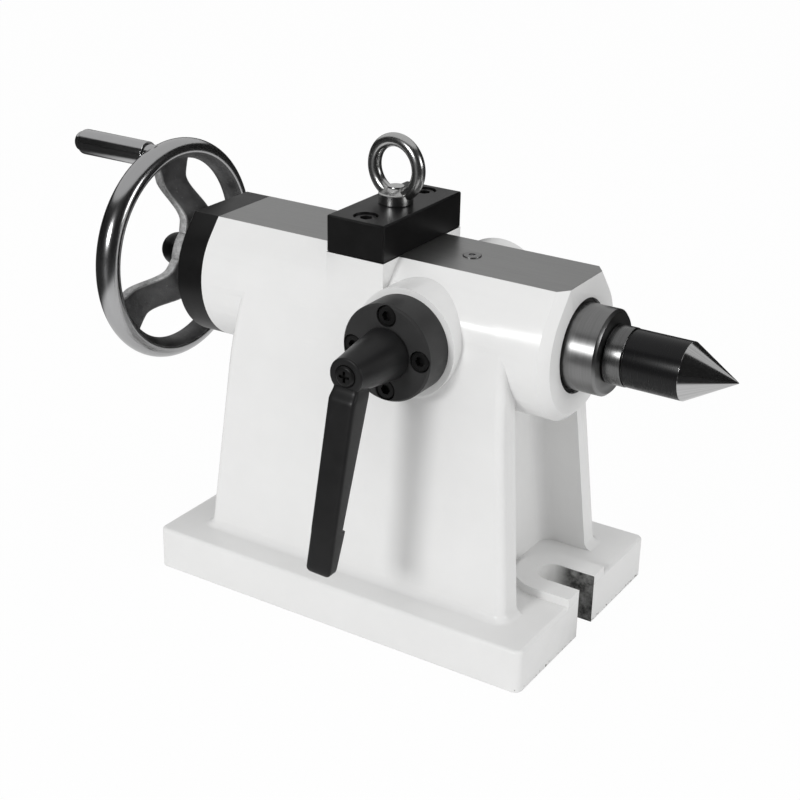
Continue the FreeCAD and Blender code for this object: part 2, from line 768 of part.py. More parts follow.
def dished_line(start, bend_start, bend_end, end):
    """Straight, S-shaped and straight again, through four (radius, x) corners."""
    poles = [point(x, 0, spindle_height + r) for r, x in (start, bend_start, bend_end, end)]
    middle = (poles[1] + poles[2]) * 0.5
    bend = (poles[2] - poles[1]).Length * 0.4
    leave = poles[1] - Z_AXIS * bend
    join = poles[2] + Z_AXIS * bend
    first = Part.BezierCurve()
    first.setPoles([leave, poles[1] + Z_AXIS * bend * 0.2, middle])
    second = Part.BezierCurve()
    second.setPoles([middle, poles[2] - Z_AXIS * bend * 0.2, join])
    inner = Part.makeLine(poles[0], leave)
    outer = Part.makeLine(join, poles[3])
    return [inner, first.toShape(), second.toShape(), outer]


def wheel_spoke():
    """Dished arm: a side profile and a front outline, each drawn once and crossed."""
    rim_side = rim_plane + spoke_thickness / 2 - 0.8
    span = rim_radius - hub_radius
    start = hub_radius - 3
    bend_start = hub_radius + 0.24 * span
    bend_end = hub_radius + 0.53 * span
    near = dished_line((start, spoke_front_plane), (bend_start, spoke_front_plane),
                       (bend_end, rim_side), (rim_radius, rim_side))
    rear_plane = spoke_front_plane - spoke_thickness
    rear_rim = rim_side - spoke_thickness
    far = dished_line((start, rear_plane), (bend_start - spoke_bulge, rear_plane),
                      (bend_end - spoke_bulge, rear_rim), (rim_radius, rear_rim))
    ends = [Part.makeLine(near[0].Vertexes[0].Point, far[0].Vertexes[0].Point)]
    ends.append(Part.makeLine(near[-1].Vertexes[-1].Point, far[-1].Vertexes[-1].Point))
    wire = Part.Wire(Part.__sortEdges__(near + far + ends))
    slab = Part.Face(wire).extrude(point(0, 2 * spoke_flare, 0))
    slab.translate(point(0, -spoke_flare, 0))
    return slab.common(spoke_outline())


def spoke_outline():
    """Front view of one arm: wide at the hub, slim in the middle, flared at the rim."""
    top = spindle_height + rim_radius
    waist = spindle_height + (hub_radius + rim_radius - rim_depth / 2) / 2
    foot = spindle_height + hub_radius - 4
    half_flare = spoke_flare / 2
    half_waist = spoke_width / 2
    half_foot = (half_flare + half_waist) / 2
    x0 = wheel_front
    right = Part.Arc(point(x0, half_foot, foot), point(x0, half_waist, waist),
                     point(x0, half_flare, top)).toShape()
    left = Part.Arc(point(x0, -half_flare, top), point(x0, -half_waist, waist),
                    point(x0, -half_foot, foot)).toShape()
    across = Part.makeLine(point(x0, half_flare, top), point(x0, -half_flare, top))
    under = Part.makeLine(point(x0, -half_foot, foot), point(x0, half_foot, foot))
    depth = wheel_front - rim_plane + 2 * spoke_thickness
    return Part.Face(Part.Wire([right, across, left, under])).extrude(point(-depth, 0, 0))


def handwheel_rim():
    """Oval ring: two small arcs at the ends of the section, two large ones between."""
    half_width = rim_width / 2
    half_depth = rim_depth / 2
    end_offset = half_width - rim_end_radius
    excess = half_depth - rim_end_radius
    side_radius = (end_offset ** 2 + half_depth ** 2 - rim_end_radius ** 2) / (2 * excess)
    slope = math.atan2(side_radius - half_depth, end_offset)
    joint_x = end_offset + rim_end_radius * math.cos(slope)
    joint_r = rim_end_radius * math.sin(slope)

    def section_point(x, r):
        return point(rim_plane + x, 0, spindle_height + rim_radius + r)

    arcs = []
    for side in (1, -1):
        broad = Part.Arc(section_point(joint_x, side * joint_r), section_point(0, side * half_depth),
                         section_point(-joint_x, side * joint_r))
        end = Part.Arc(section_point(side * joint_x, -joint_r), section_point(side * half_width, 0),
                       section_point(side * joint_x, joint_r))
        arcs += [broad.toShape(), end.toShape()]
    face = Part.Face(Part.Wire(Part.__sortEdges__(arcs)))
    return face.revolve(point(0, 0, spindle_height), X_AXIS, 360)


def handwheel():
    """Cast spider of three dished arms in a polished rim, bored and keyed."""
    hub = rod_x(hub_radius, hub_rear, wheel_front)
    edges = [edge for edge in hub.Edges if edge.Length > 6 * hub_radius]
    wheel = hub.makeFillet(hub_round, edges)
    arms = []
    for angle in spoke_angles:
        arm = wheel_spoke()
        arm.rotate(point(0, 0, spindle_height), X_AXIS, angle - 90)
        arms.append(arm)
    wheel = wheel.fuse(arms + [handwheel_rim()])
    tools = [rod_x(seat_radius + fixed_gap, hub_rear - 1, wheel_front + 1), wheel_key_slot(fixed_gap)]
    tools.append(rod_x(washer_radius + 0.5, hub_rear - spoke_thickness, hub_rear))
    tools.append(rod_x(handle_thread_radius + fixed_gap, handle_root, rim_plane + 3, handle_y, handle_z))
    return wheel.cut(tools).removeSplitter()


def handwheel_key():
    return wheel_key_slot(0)


def handwheel_washer():
    return ring_x(washer_radius, stub_radius + fixed_gap, nut_seat, hub_rear)


def handwheel_nut():
    """Domed cap nut: a chamfered hexagon under a round cap."""
    flat_end = nut_seat - cap_nut_height * 0.45
    inscribed = cap_nut_flats / 2
    prism = hexagon(cap_nut_flats, X_AXIS * -1, point(nut_seat, 0, spindle_height), nut_seat - flat_end, 30)
    chamfers = turned_x([(nut_seat, 0), (nut_seat, inscribed + 0.1), (nut_seat - 0.6, inscribed + 1.1),
                         (flat_end + 0.8, inscribed + 1.1), (flat_end, inscribed + 0.1), (flat_end, 0)])
    dome_radius = inscribed - 0.3
    dome_start = nut_seat - cap_nut_height + dome_radius

    def place(x, r):
        return point(x, 0, spindle_height + r)

    bend = dome_radius * math.sqrt(0.5)
    crown = place(dome_start - dome_radius, 0)
    arc = Part.Arc(place(dome_start, dome_radius), place(dome_start - bend, bend), crown)
    edges = [arc.toShape(), Part.makeLine(crown, place(flat_end + 1, 0))]
    edges.append(Part.makeLine(place(flat_end + 1, 0), place(flat_end + 1, dome_radius)))
    edges.append(Part.makeLine(place(flat_end + 1, dome_radius), place(dome_start, dome_radius)))
    dome = Part.Face(Part.Wire(edges)).revolve(point(0, 0, spindle_height), X_AXIS, 360)
    hole = rod_x(stub_radius + fixed_gap, nut_seat + 1, nut_seat - cap_nut_height * 0.75)
    return prism.common(chamfers).fuse(dome).cut(hole)


def handle_stud():
    """Pin screwed into the rim, with the rounded head that keeps the handle on."""
    face = handle_end - handle_head
    pin = rod_x(handle_pin_radius, handle_end - 1, handle_root + handle_gap - 0.1, handle_y, handle_z)
    thread = rod_x(handle_thread_radius, handle_root, rim_plane + 2, handle_y, handle_z)
    head = rod_x(handle_pin_radius * 1.5, face, handle_end - running_gap, handle_y, handle_z)
    outer = [edge for edge in head.Edges if edge.CenterOfMass.x < face + 0.01]
    head = head.makeFillet(handle_head * 0.58, outer)
    return pin.fuse([thread, head])


def crank_handle():
    corners = [(handle_root, 0), (handle_root, handle_rim_radius - 0.8)]
    corners += [(handle_root - 0.8, handle_rim_radius)]
    corners += [(handle_end + 1.6, handle_radius), (handle_end + 0.5, handle_radius - 0.5)]
    corners += [(handle_end, handle_radius - 1.4), (handle_end, 0)]
    wire = Part.makePolygon([point(x, handle_y, handle_z + r) for x, r in corners + corners[:1]])
    body = Part.Face(wire).revolve(point(0, handle_y, handle_z), X_AXIS, 360)
    bore = handle_pin_radius + running_gap
    return body.cut(rod_x(bore, handle_end - 1, handle_root + 1, handle_y, handle_z))


NODES = {
    "body_casting": body_casting,
    "rear_cap": rear_cap,
    "rear_cap_screws": rear_cap_screws,
    "wiper_ring": wiper_ring,
    "front_thrust_bearing": lambda: thrust_bearing(bearing_front - bearing_width),
    "rear_thrust_bearing": lambda: thrust_bearing(bearing_rear),
    "lead_screw": lead_screw,
    "lead_nut": lead_nut,
    "lead_nut_screws": lead_nut_screws,
    "quill": quill,
    "dead_centre": dead_centre,
    "lifting_block": lifting_block,
    "lifting_block_screws": lifting_block_screws,
    "eye_bolt": eye_bolt,
    "oiler": oiler,
    "oiler_ball": oiler_ball,
    "clamp_flange": clamp_flange,
    "clamp_flange_screws": clamp_flange_screws,
    "clamp_shoe": clamp_shoe,
    "clamp_screw": clamp_screw,
    "lever_insert": lever_insert,
    "clamp_lever": clamp_lever,
    "lever_screw": lever_screw,
    "lever_spring": lever_spring,
    "guide_key": guide_key,
    "guide_plug": guide_plug,
    "handwheel": handwheel,
    "handwheel_key": handwheel_key,
    "handwheel_washer": handwheel_washer,
    "handwheel_nut": handwheel_nut,
    "handle_stud": handle_stud,
    "crank_handle": crank_handle,
}

os.makedirs("parts", exist_ok=True)
for name, make in NODES.items():
    shape = make()
    if isinstance(shape, list):
        shape = Part.makeCompound(shape)
    shape.exportStep("parts/" + name + ".step")
    size = shape.optimalBoundingBox()
    print(name, len(shape.Solids), "valid" if shape.isValid() else "INVALID", round(shape.Volume),
          [round(v, 1) for v in (size.XMin, size.XMax, size.YMin, size.YMax, size.ZMin, size.ZMax)])
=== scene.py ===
# %% [markdown]
# # Manual tailstock
# A tailstock carries the far end of a job that a rotary table turns. A white enamelled casting
# holds a ground quill, a handwheel pushes the quill out, and a lever clamps it. The CAD model
# gives every size; this lesson gives it its finishes, its rounded edges and the small forms that
# a CAD model leaves plain. Lengths below are in millimetres and go through `mm`, because
# Blender's scene is in metres.

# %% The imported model
import json
import math

import bmesh
import bpy
import numpy as np
from mathutils import Matrix, Vector

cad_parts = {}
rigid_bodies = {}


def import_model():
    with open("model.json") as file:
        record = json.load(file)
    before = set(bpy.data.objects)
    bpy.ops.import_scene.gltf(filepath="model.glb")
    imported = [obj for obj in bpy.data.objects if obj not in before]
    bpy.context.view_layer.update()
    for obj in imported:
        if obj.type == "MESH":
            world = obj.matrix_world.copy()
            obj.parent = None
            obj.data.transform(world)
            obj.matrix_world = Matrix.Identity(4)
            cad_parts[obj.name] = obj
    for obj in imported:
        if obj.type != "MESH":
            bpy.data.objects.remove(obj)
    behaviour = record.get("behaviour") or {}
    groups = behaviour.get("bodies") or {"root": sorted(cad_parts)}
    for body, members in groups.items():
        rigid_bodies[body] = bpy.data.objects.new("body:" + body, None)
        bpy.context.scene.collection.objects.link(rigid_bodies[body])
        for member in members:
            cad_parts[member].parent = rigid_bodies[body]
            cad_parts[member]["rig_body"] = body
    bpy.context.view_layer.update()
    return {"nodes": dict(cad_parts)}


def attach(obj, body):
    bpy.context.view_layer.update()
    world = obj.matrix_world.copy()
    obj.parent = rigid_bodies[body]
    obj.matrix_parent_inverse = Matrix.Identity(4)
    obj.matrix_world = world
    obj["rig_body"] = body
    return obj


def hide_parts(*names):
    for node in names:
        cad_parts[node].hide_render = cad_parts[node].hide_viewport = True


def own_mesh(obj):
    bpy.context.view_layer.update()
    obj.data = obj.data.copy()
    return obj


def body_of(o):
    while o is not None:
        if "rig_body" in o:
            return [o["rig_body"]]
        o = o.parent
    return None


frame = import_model()
mm = 0.001
centre_height = 135.0
spindle = centre_height * mm

# %% [markdown]
# ## The camera
# The photograph was taken from the front right, a little above. Lines that run to the same
# vanishing point gave the azimuth, elevation and roll; the known centre height gave the distance.
# The lens follows from the focal length in pixels: a 36 mm sensor spans the 800 pixels of the
# picture.

# %% Camera
sensor_width, picture_pixels, focal_pixels = 36.0, 800.0, 1579.83
azimuth, elevation, roll = (math.radians(a) for a in (31.92, 23.95, 1.23))
right = np.array([math.cos(azimuth), math.sin(azimuth), 0.0])
level_ahead = np.array([-math.sin(azimuth), math.cos(azimuth), 0.0])
ahead = level_ahead * math.cos(elevation) - np.array([0.0, 0.0, math.sin(elevation)])
above = np.cross(right, ahead)
rolled_right = right * math.cos(roll) + above * math.sin(roll)
rolled_above = above * math.cos(roll) - right * math.sin(roll)
camera_data = bpy.data.cameras.new("camera")
camera_data.sensor_width = sensor_width
camera_data.lens = focal_pixels * sensor_width / picture_pixels
camera_data.clip_start, camera_data.clip_end = 0.02, 20.0
camera = bpy.data.objects.new("camera", camera_data)
bpy.context.scene.collection.objects.link(camera)
stand = np.array([0.3468, -0.5612, 0.3811])
rows = np.stack([rolled_right, rolled_above, -ahead, stand], -1)
camera.matrix_world = Matrix([*rows.tolist(), [0, 0, 0, 1]])
bpy.context.scene.camera = camera
bpy.context.scene.view_settings.view_transform = "Standard"
print("lens", round(camera_data.lens, 2), "mm, camera", np.round(stand, 3))

# %% [markdown]
# ## Shader maths as Python
# A finish is built from sockets. `Wire` wraps one output socket, so that `1 - mask * 0.3` adds
# the Math nodes by itself. `Finish` starts a material, sets its constants straight on the shader,
# and makes every other node with one method: its type, its settings, then its inputs.

# %% Wire and Finish
class Wire:
    """One output socket; arithmetic on it adds Math nodes to its finish."""

    def __init__(self, finish, socket):
        self.finish = finish
        self.socket = socket

    def math(self, operation, *values):
        return self.finish.node("ShaderNodeMath", {"operation": operation}, *values)

    def __add__(self, other):
        return self.math("ADD", self, other)

    def __radd__(self, other):
        return self.math("ADD", other, self)

    def __sub__(self, other):
        return self.math("SUBTRACT", self, other)

    def __rsub__(self, other):
        return self.math("SUBTRACT", other, self)

    def __mul__(self, other):
        return self.math("MULTIPLY", self, other)

    def __rmul__(self, other):
        return self.math("MULTIPLY", other, self)

    def __truediv__(self, other):
        return self.math("DIVIDE", self, other)

    def __rtruediv__(self, other):
        return self.math("DIVIDE", other, self)

    def __gt__(self, other):
        return self.math("GREATER_THAN", self, other)

    def __lt__(self, other):
        return self.math("LESS_THAN", self, other)

    def __abs__(self):
        return self.math("ABSOLUTE", self)

    def between(self, low, high):
        """0 at low, 1 at high, straight in between and held outside."""
        return self.finish.node("ShaderNodeMapRange", {"clamp": True}, self, low, high, 0.0, 1.0)


class Finish:
    """A material being built: constants on its shader, everything else through node()."""

    def __init__(self, name, **constants):
        self.material = bpy.data.materials.new(name)
        self.material.use_nodes = True
        self.tree = self.material.node_tree
        self.shader = self.tree.nodes["Principled BSDF"]
        for key, value in constants.items():
            socket = self.shader.inputs[key.replace("_", " ").title().replace("Ior", "IOR")]
            socket.default_value = (*value, 1.0) if isinstance(value, tuple) else value
        self.place = self.node("ShaderNodeTexCoord", {}, out="Object")

    def node(self, kind, settings, *values, out=0, **named):
        made = self.tree.nodes.new(kind)
        for key, value in settings.items():
            if key == "stops":
                while len(made.color_ramp.elements) < len(value):
                    made.color_ramp.elements.new(1.0)
                for element, (position, colour) in zip(made.color_ramp.elements, value):
                    element.position = position
                    element.color = (*colour, 1.0)
            else:
                setattr(made, key, value)
        for index, value in list(enumerate(values)) + list(named.items()):
            if isinstance(value, Wire):
                self.tree.links.new(value.socket, made.inputs[index])
            elif value is not None:
                made.inputs[index].default_value = value
        return Wire(self, made.outputs[out])

    def axes(self):
        parts = self.tree.nodes.new("ShaderNodeSeparateXYZ")
        self.tree.links.new(self.place.socket, parts.inputs[0])
        return [Wire(self, parts.outputs[i]) for i in range(3)]

    def stretched(self, x, y, z):
        """The object coordinates, each axis times its own factor."""
        return self.node("ShaderNodeVectorMath", {"operation": "MULTIPLY"}, self.place, (x, y, z))

    def noise(self, scale, detail=2.0, roughness=0.5, vector=None):
        return self.node("ShaderNodeTexNoise", {}, Vector=vector or self.place,
                         Scale=scale, Detail=detail, Roughness=roughness)

    def mixed(self, factor, first, second):
        """Colour mix: first where the factor is 0, second where it is 1."""
        first, second = (c if isinstance(c, Wire) else (*c, 1.0) for c in (first, second))
        made = self.tree.nodes.new("ShaderNodeMix")
        made.data_type = "RGBA"
        for index, value in ((0, factor), (6, first), (7, second)):
            if isinstance(value, Wire):
                self.tree.links.new(value.socket, made.inputs[index])
            else:
                made.inputs[index].default_value = value
        return Wire(self, made.outputs[2])

    def bump(self, height, distance, strength=1.0):
        return self.node("ShaderNodeBump", {}, Height=height, Distance=distance, Strength=strength)

    def feed(self, **wires):
        for key, wire in wires.items():
            self.tree.links.new(wire.socket, self.shader.inputs[key.replace("_", " ").title()])
        return self


print("shader tools ready")

# %% [markdown]
# ## The white casting
# One casting carries three finishes. Most of it is thick white enamel, sprayed over filled and
# rubbed cast iron, so it is glossy and only slightly wavy. The top of the barrel is ground after
# painting, the two bolt slots are milled, and the lower edges of the ends are darker in spots.
# Masks on object coordinates part them, so each finish starts exactly where the tool ran
# out. In the bolt slots the paint ends near the closed end, and the bare walls are darker and
# mottled from there to the opening.

# %% White enamel, ground flat, milled slots
flat_height, pad_top = 163.9 * mm, 24.0 * mm
slot_half, slot_inner = 7.5 * mm, 73.0 * mm
slot_dark_start, slot_dark_full = 77.5 * mm, 84.5 * mm
enamel = Finish("white_enamel", Specular_IOR_Level=0.30)
x, y, z = enamel.axes()
ground = z > flat_height - 0.05 * mm
in_slot = (abs(y) < slot_half + 0.1 * mm) * (abs(x) > slot_inner - 1.0 * mm)
slot_walls = in_slot * (z < pad_top - 0.4 * mm)
underside = z < 0.05 * mm
# Darker spots along the lower edges of the ends.
low_edge_noise = enamel.noise(700.0, 3.0, 0.7)
low_edge_spots = (abs(x) > 95.0 * mm) * (z < 1.4 * mm) * (low_edge_noise > 0.6)
waves = enamel.noise(60.0, 2.0)
peel = enamel.noise(1400.0, 1.0)
lines = enamel.noise(500.0, 4.0, 0.6, enamel.stretched(0.06, 3.0, 3.0))
paint_colour = enamel.mixed(waves, (0.80, 0.80, 0.795), (0.84, 0.84, 0.835))
metal_colour = enamel.mixed(lines, (0.24, 0.24, 0.24), (0.36, 0.36, 0.356))
# The bare slot walls turn darker and mottled towards the open end.
scale = enamel.noise(220.0, 4.0, 0.7)
slot_dark_colour = enamel.mixed(scale.between(0.35, 0.75), (0.025, 0.025, 0.024), (0.30, 0.30, 0.295))
reached = abs(x).between(slot_dark_start, slot_dark_full)
milled_colour = enamel.mixed(reached, (0.80, 0.80, 0.79), slot_dark_colour)
colour = enamel.mixed(ground, paint_colour, metal_colour)
colour = enamel.mixed(slot_walls, colour, milled_colour)
colour = enamel.mixed(underside, colour, metal_colour)
colour = enamel.mixed(low_edge_spots, colour, (0.10, 0.09, 0.08))
metal = (ground + underside).between(0.0, 1.0)
enamel.feed(
    Base_Color=colour,
    Roughness=0.20 + metal * 0.08 + slot_walls * 0.2 + peel * 0.06,
    Metallic=metal * 0.9,
    Normal=enamel.bump(waves * 0.6 + peel * 0.04 * (1 - metal) + lines * metal * 0.05, 0.0004),
)
print("enamel nodes", len(enamel.tree.nodes))

# %% [markdown]
# ## Blackened, ground and polished steel
# Black oxide is a thin satin layer over machined steel, so it keeps the tool marks and turns
# slightly brown and grey in patches. Ground steel shows fine lines round its axis. Polished steel
# and chrome are nearly mirrors, and only a faint smear of fingerprints and hairlines makes them
# look real.

# %% Black oxide
def blackened(name, dark, light, roughness):
    """Satin oxide: brown and grey patches over a fine machined grain."""
    finish = Finish(name, Specular_IOR_Level=0.25)
    patches = finish.noise(90.0, 4.0, 0.6)
    grain = finish.noise(2600.0, 2.0, 0.6)
    finish.feed(
        Base_Color=finish.mixed(patches, dark, light),
        Roughness=roughness + patches * 0.14 + grain * 0.06,
        Normal=finish.bump(grain, 0.00002, 0.5),
    )
    return finish


oxide = blackened("black_oxide", (0.004, 0.004, 0.0042), (0.010, 0.0098, 0.0098), 0.26)
flange_oxide = blackened("flange_oxide", (0.024, 0.024, 0.0245), (0.038, 0.0378, 0.0378), 0.34)
lever_coat = blackened("lever_coat", (0.009, 0.009, 0.0093), (0.018, 0.018, 0.0183), 0.26)
print("oxide nodes", len(oxide.tree.nodes))

# %% [markdown]
# A part ground between centres carries rings of fine scratches, each ring at one place along the
# axis. A noise squeezed to almost nothing across the axis gives exactly that, without a picture.

# %% Ground steel, with lines round the spindle axis
def turned_steel(name, dark, light, roughness, line_scale=1400.0):
    """Steel ground between centres: noise stretched round X, so it varies along the axis only."""
    finish = Finish(name, Metallic=1.0)
    rings = finish.noise(line_scale, 3.0, 0.7, finish.stretched(1.0, 0.02, 0.02))
    smear = finish.noise(70.0, 3.0)
    finish.feed(
        Base_Color=finish.mixed(rings, dark, light),
        Roughness=roughness + rings * 0.08 + smear * 0.08,
        Normal=finish.bump(rings, 0.00001, 0.4),
    )
    return finish


ground_steel = turned_steel("ground_steel", (0.20, 0.20, 0.20), (0.31, 0.31, 0.31), 0.24)
spring_steel = turned_steel("spring_steel", (0.34, 0.34, 0.36), (0.48, 0.48, 0.5), 0.3)
bearing_steel = turned_steel("bearing_steel", (0.55, 0.55, 0.57), (0.66, 0.66, 0.68), 0.14)
bronze = turned_steel("lead_nut_bronze", (0.52, 0.33, 0.14), (0.66, 0.45, 0.22), 0.3)
brass = turned_steel("shoe_brass", (0.62, 0.47, 0.2), (0.76, 0.6, 0.3), 0.28)

turned_finishes = (ground_steel, spring_steel, bearing_steel, bronze, brass)
print("turned finishes", [finish.material.name for finish in turned_finishes])

# %% [markdown]
# The handle and the eye are polished until they mirror the room. A slow noise in the roughness stands
# for the smears of a hand, because an even roughness would look like plastic film.

# %% Polished surfaces
def polished(name, dark, light, roughness):
    """A near mirror: slow smears in roughness and hairlines too fine to bend a reflection."""
    finish = Finish(name, Metallic=1.0)
    smear = finish.noise(45.0, 4.0, 0.6)
    hair = finish.noise(700.0, 3.0, 0.7, finish.stretched(1.0, 0.1, 0.1))
    finish.feed(
        Base_Color=finish.mixed(smear, dark, light),
        Roughness=roughness + smear * 0.05 + hair * 0.03,
        Normal=finish.bump(smear, 0.0001, 0.15),
    )
    return finish


chrome = polished("handle_chrome", (0.46, 0.46, 0.465), (0.58, 0.58, 0.585), 0.14)
stainless = polished("eye_stainless", (0.50, 0.50, 0.495), (0.64, 0.64, 0.635), 0.21)

print("polished finishes", chrome.material.name, stainless.material.name)

# %% [markdown]
# The handwheel is one casting of which only the rim is turned and polished. The distance from the
# spindle axis parts rim and arms, so the border is a true circle on any arm that crosses it.

# %% The handwheel: a polished rim on arms left as cast
as_cast_radius = 47.6 * mm
wheel_finish = Finish("wheel_rim_and_arms")
x, y, z = wheel_finish.axes()
across_square = y * y + (z - spindle) * (z - spindle)
as_cast = across_square < as_cast_radius ** 2
speckle = wheel_finish.noise(420.0, 5.0, 0.75)
broad = wheel_finish.noise(60.0, 3.0)
# A per-point value on the mesh carries a painted highlight on the arms' edges and the hub's skin.
edge_highlight = wheel_finish.node("ShaderNodeAttribute", {"attribute_name": "mark"}, out="Fac")
# Random light speckle over the as-cast surface, plus the painted highlight towards light grey.
speckle_and_edge_highlight = speckle.between(0.60, 0.74) * 0.25 + edge_highlight * (0.5 + speckle.between(0.36, 0.60) * 0.5)
cast_colour = wheel_finish.mixed(broad.between(0.3, 0.7), (0.06, 0.06, 0.061), (0.17, 0.17, 0.172))
cast_colour = wheel_finish.mixed(speckle_and_edge_highlight, cast_colour, (0.70, 0.70, 0.70))
wheel_finish.feed(
    Base_Color=wheel_finish.mixed(as_cast, (0.50, 0.50, 0.505), cast_colour),
    Roughness=0.17 + broad * 0.06 + as_cast * (0.16 + speckle * 0.3),
    Metallic=1 - as_cast * 0.35,
    Normal=wheel_finish.bump(speckle * as_cast, 0.0006, 0.5),
)
print("wheel nodes", len(wheel_finish.tree.nodes))

# %% [markdown]
# The centre is one piece of steel with three treatments along its axis. Two limits on x part them.
# Painted reflection streaks run towards the point's tip, so their noise reads the angle round the axis
# only.

# %% The centre: ground collar, blackened body, polished point
centre_finish = Finish("centre_steel", Specular_IOR_Level=0.25)
x, y, z = centre_finish.axes()
black_start, point_start = 109.6 * mm, 134.4 * mm
black_body = (x > black_start) * (x < point_start)
point_part = x > point_start
rings = centre_finish.noise(1500.0, 3.0, 0.7, centre_finish.stretched(1.0, 0.02, 0.02))
ground_tone = centre_finish.mixed(rings, (0.12, 0.12, 0.12), (0.22, 0.22, 0.22))
# Painted reflection: light and dark streaks that radiate from the tip.
round_axis = centre_finish.node("ShaderNodeMath", {"operation": "ARCTAN2"}, z - spindle, y)
reflection_streaks = centre_finish.node("ShaderNodeTexNoise", {"noise_dimensions": "1D"},
                           None, round_axis, 9.0, 3.0, 0.7)
point_reflection_tone = centre_finish.mixed(reflection_streaks, (0.40, 0.40, 0.40), (0.72, 0.72, 0.72))
steel_colour = centre_finish.mixed(point_part, ground_tone, point_reflection_tone)
centre_finish.feed(
    Base_Color=centre_finish.mixed(black_body, steel_colour, (0.006, 0.006, 0.0065)),
    Roughness=0.24 + rings * 0.06 - point_part * 0.14,
    Metallic=1 - black_body,
    Normal=centre_finish.bump(rings * (1 - point_part), 0.00002, 0.5),
)

print("centre nodes", len(centre_finish.tree.nodes))

# %% [markdown]
# A felt ring wipes the quill. It is matt, and a fine noise in the bump stands for its hairs.

# %% Wiper felt
felt = Finish("wiper_felt", Roughness=0.9)
hairs = felt.noise(2400.0, 4.0, 0.7)
felt.feed(
    Base_Color=felt.mixed(hairs, (0.012, 0.012, 0.012), (0.05, 0.05, 0.05)),
    Normal=felt.bump(hairs, 0.0001),
)
print(len(bpy.data.materials), "materials")

# %% [markdown]
# The finishes now go to the slots of the CAD nodes. The table is sorted by finish, so that a reader
# sees at a glance which pieces share one treatment.

# %% Give each CAD node its finish
nodes_by_finish = (
    (enamel, "body_casting"),
    (oxide, "rear_cap rear_cap_screws lead_nut_screws lifting_block lifting_block_screws"),
    (oxide, "clamp_flange_screws lever_screw guide_plug handwheel_washer handwheel_nut"),
    (flange_oxide, "clamp_flange"),
    (lever_coat, "clamp_lever"),
    (felt, "wiper_ring"),
    (bearing_steel, "front_thrust_bearing rear_thrust_bearing oiler_ball"),
    (ground_steel, "lead_screw quill oiler clamp_screw lever_insert guide_key handwheel_key"),
    (spring_steel, "lever_spring"),
    (bronze, "lead_nut"),
    (brass, "clamp_shoe"),
    (centre_finish, "dead_centre"),
    (stainless, "eye_bolt"),
    (wheel_finish, "handwheel"),
    (chrome, "handle_stud crank_handle"),
)
finishes = {name: finish for finish, names in nodes_by_finish for name in names.split()}
for name, finish in finishes.items():
    node = frame["nodes"][name]
    node.data.materials.clear()
    node.data.materials.append(finish.material)
print("all nodes dressed:", set(finishes) == set(frame["nodes"]))

# %% [markdown]
# ## Surfaces from formulas
# The round pieces are drawn again with numpy, so that their reflections run without a facet. Each
# surface is a grid of points: `lattice` joins neighbours with four-sided faces, and wraps round
# where the grid closes.

# %% Grids of points into meshes
def lattice(name, grids, node, finish, sharp=32.0, highlight_marks=None):
    """One mesh from grids of shape (rows, columns, 3) whose columns wrap round.

    Where given, the last argument is a value from 0 to 1 at each point, read by the finish as a painted
    highlight.
    """
    points, faces, start = [], [], 0
    for grid in grids:
        rows, columns = grid.shape[:2]
        index = start + np.arange(rows * columns).reshape(rows, columns)
        after = np.roll(index, -1, axis=1)
        faces.append(np.stack([index[:-1], after[:-1], after[1:], index[1:]], -1).reshape(-1, 4))
        points.append(grid.reshape(-1, 3))
        start += rows * columns
    mesh = bpy.data.meshes.new(name)
    mesh.from_pydata(np.concatenate(points).tolist(), [], np.concatenate(faces).tolist())
    if highlight_marks is not None:
        mark = mesh.attributes.new("mark", "FLOAT", "POINT")
        mark.data.foreach_set("value", highlight_marks.astype(np.float32))
    work = bmesh.new()
    work.from_mesh(mesh)
    bmesh.ops.remove_doubles(work, verts=work.verts, dist=1e-6)
    bmesh.ops.recalc_face_normals(work, faces=work.faces)
    work.to_mesh(mesh)
    work.free()
    mesh.shade_smooth()
    mesh.set_sharp_from_angle(angle=math.radians(sharp))
    mesh.materials.append(finish.material)
    made = bpy.data.objects.new(name, mesh)
    bpy.context.scene.collection.objects.link(made)
    stand_in(made, node)
    print(name, len(mesh.polygons), "faces")
    return made


def stand_in(piece, node):
    """The piece is shown in place of a CAD node and moves with the same body."""
    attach(piece, body_of(frame["nodes"][node])[0])
    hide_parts(node)


def turned(profile, y=0.0, z=centre_height, columns=128):
    """Profile of (x, radius) in mm turned round a line along x: (x, y + r cos t, z + r sin t)."""
    profile = np.array(profile, float)
    t = np.linspace(0, 2 * np.pi, columns, endpoint=False)
    x, r = profile[:, :1], profile[:, 1:]
    flat = np.ones_like(t)
    return np.stack([x * flat, y + r * np.cos(t), z + r * np.sin(t)], -1) * mm


def arc(middle_x, middle_r, radius, start, end, count=9):
    """Points of a round stretch in a profile, angles in degrees from the x axis."""
    t = np.radians(np.linspace(start, end, count))
    return list(zip(middle_x + radius * np.cos(t), middle_r + radius * np.sin(t)))


def swept(centres, sideways, outward, section):
    """Section of (side, out) carried along centres: centre + side * sideways + out * outward."""
    side, out = section[..., :1], section[..., 1:]
    return (centres[:, None] + side * sideways[:, None] + out * outward[:, None]) * mm


print("surface tools ready")

# %% [markdown]
# ## The handwheel
# The rim is an oval ring. Each arm starts at the hub's face, bends back along a smooth S and
# reaches the rim, narrow in the middle and flared at both ends. The arm's section is a rectangle
# with rounded corners, written as a superellipse: |side / width|^8 + |out / thickness|^8 = 1. A
# raised ring on the hub's back covers the roots of the arms. A painted highlight, 1 on the arms'
# edges and the hub's skin, brightens the cast grey there.

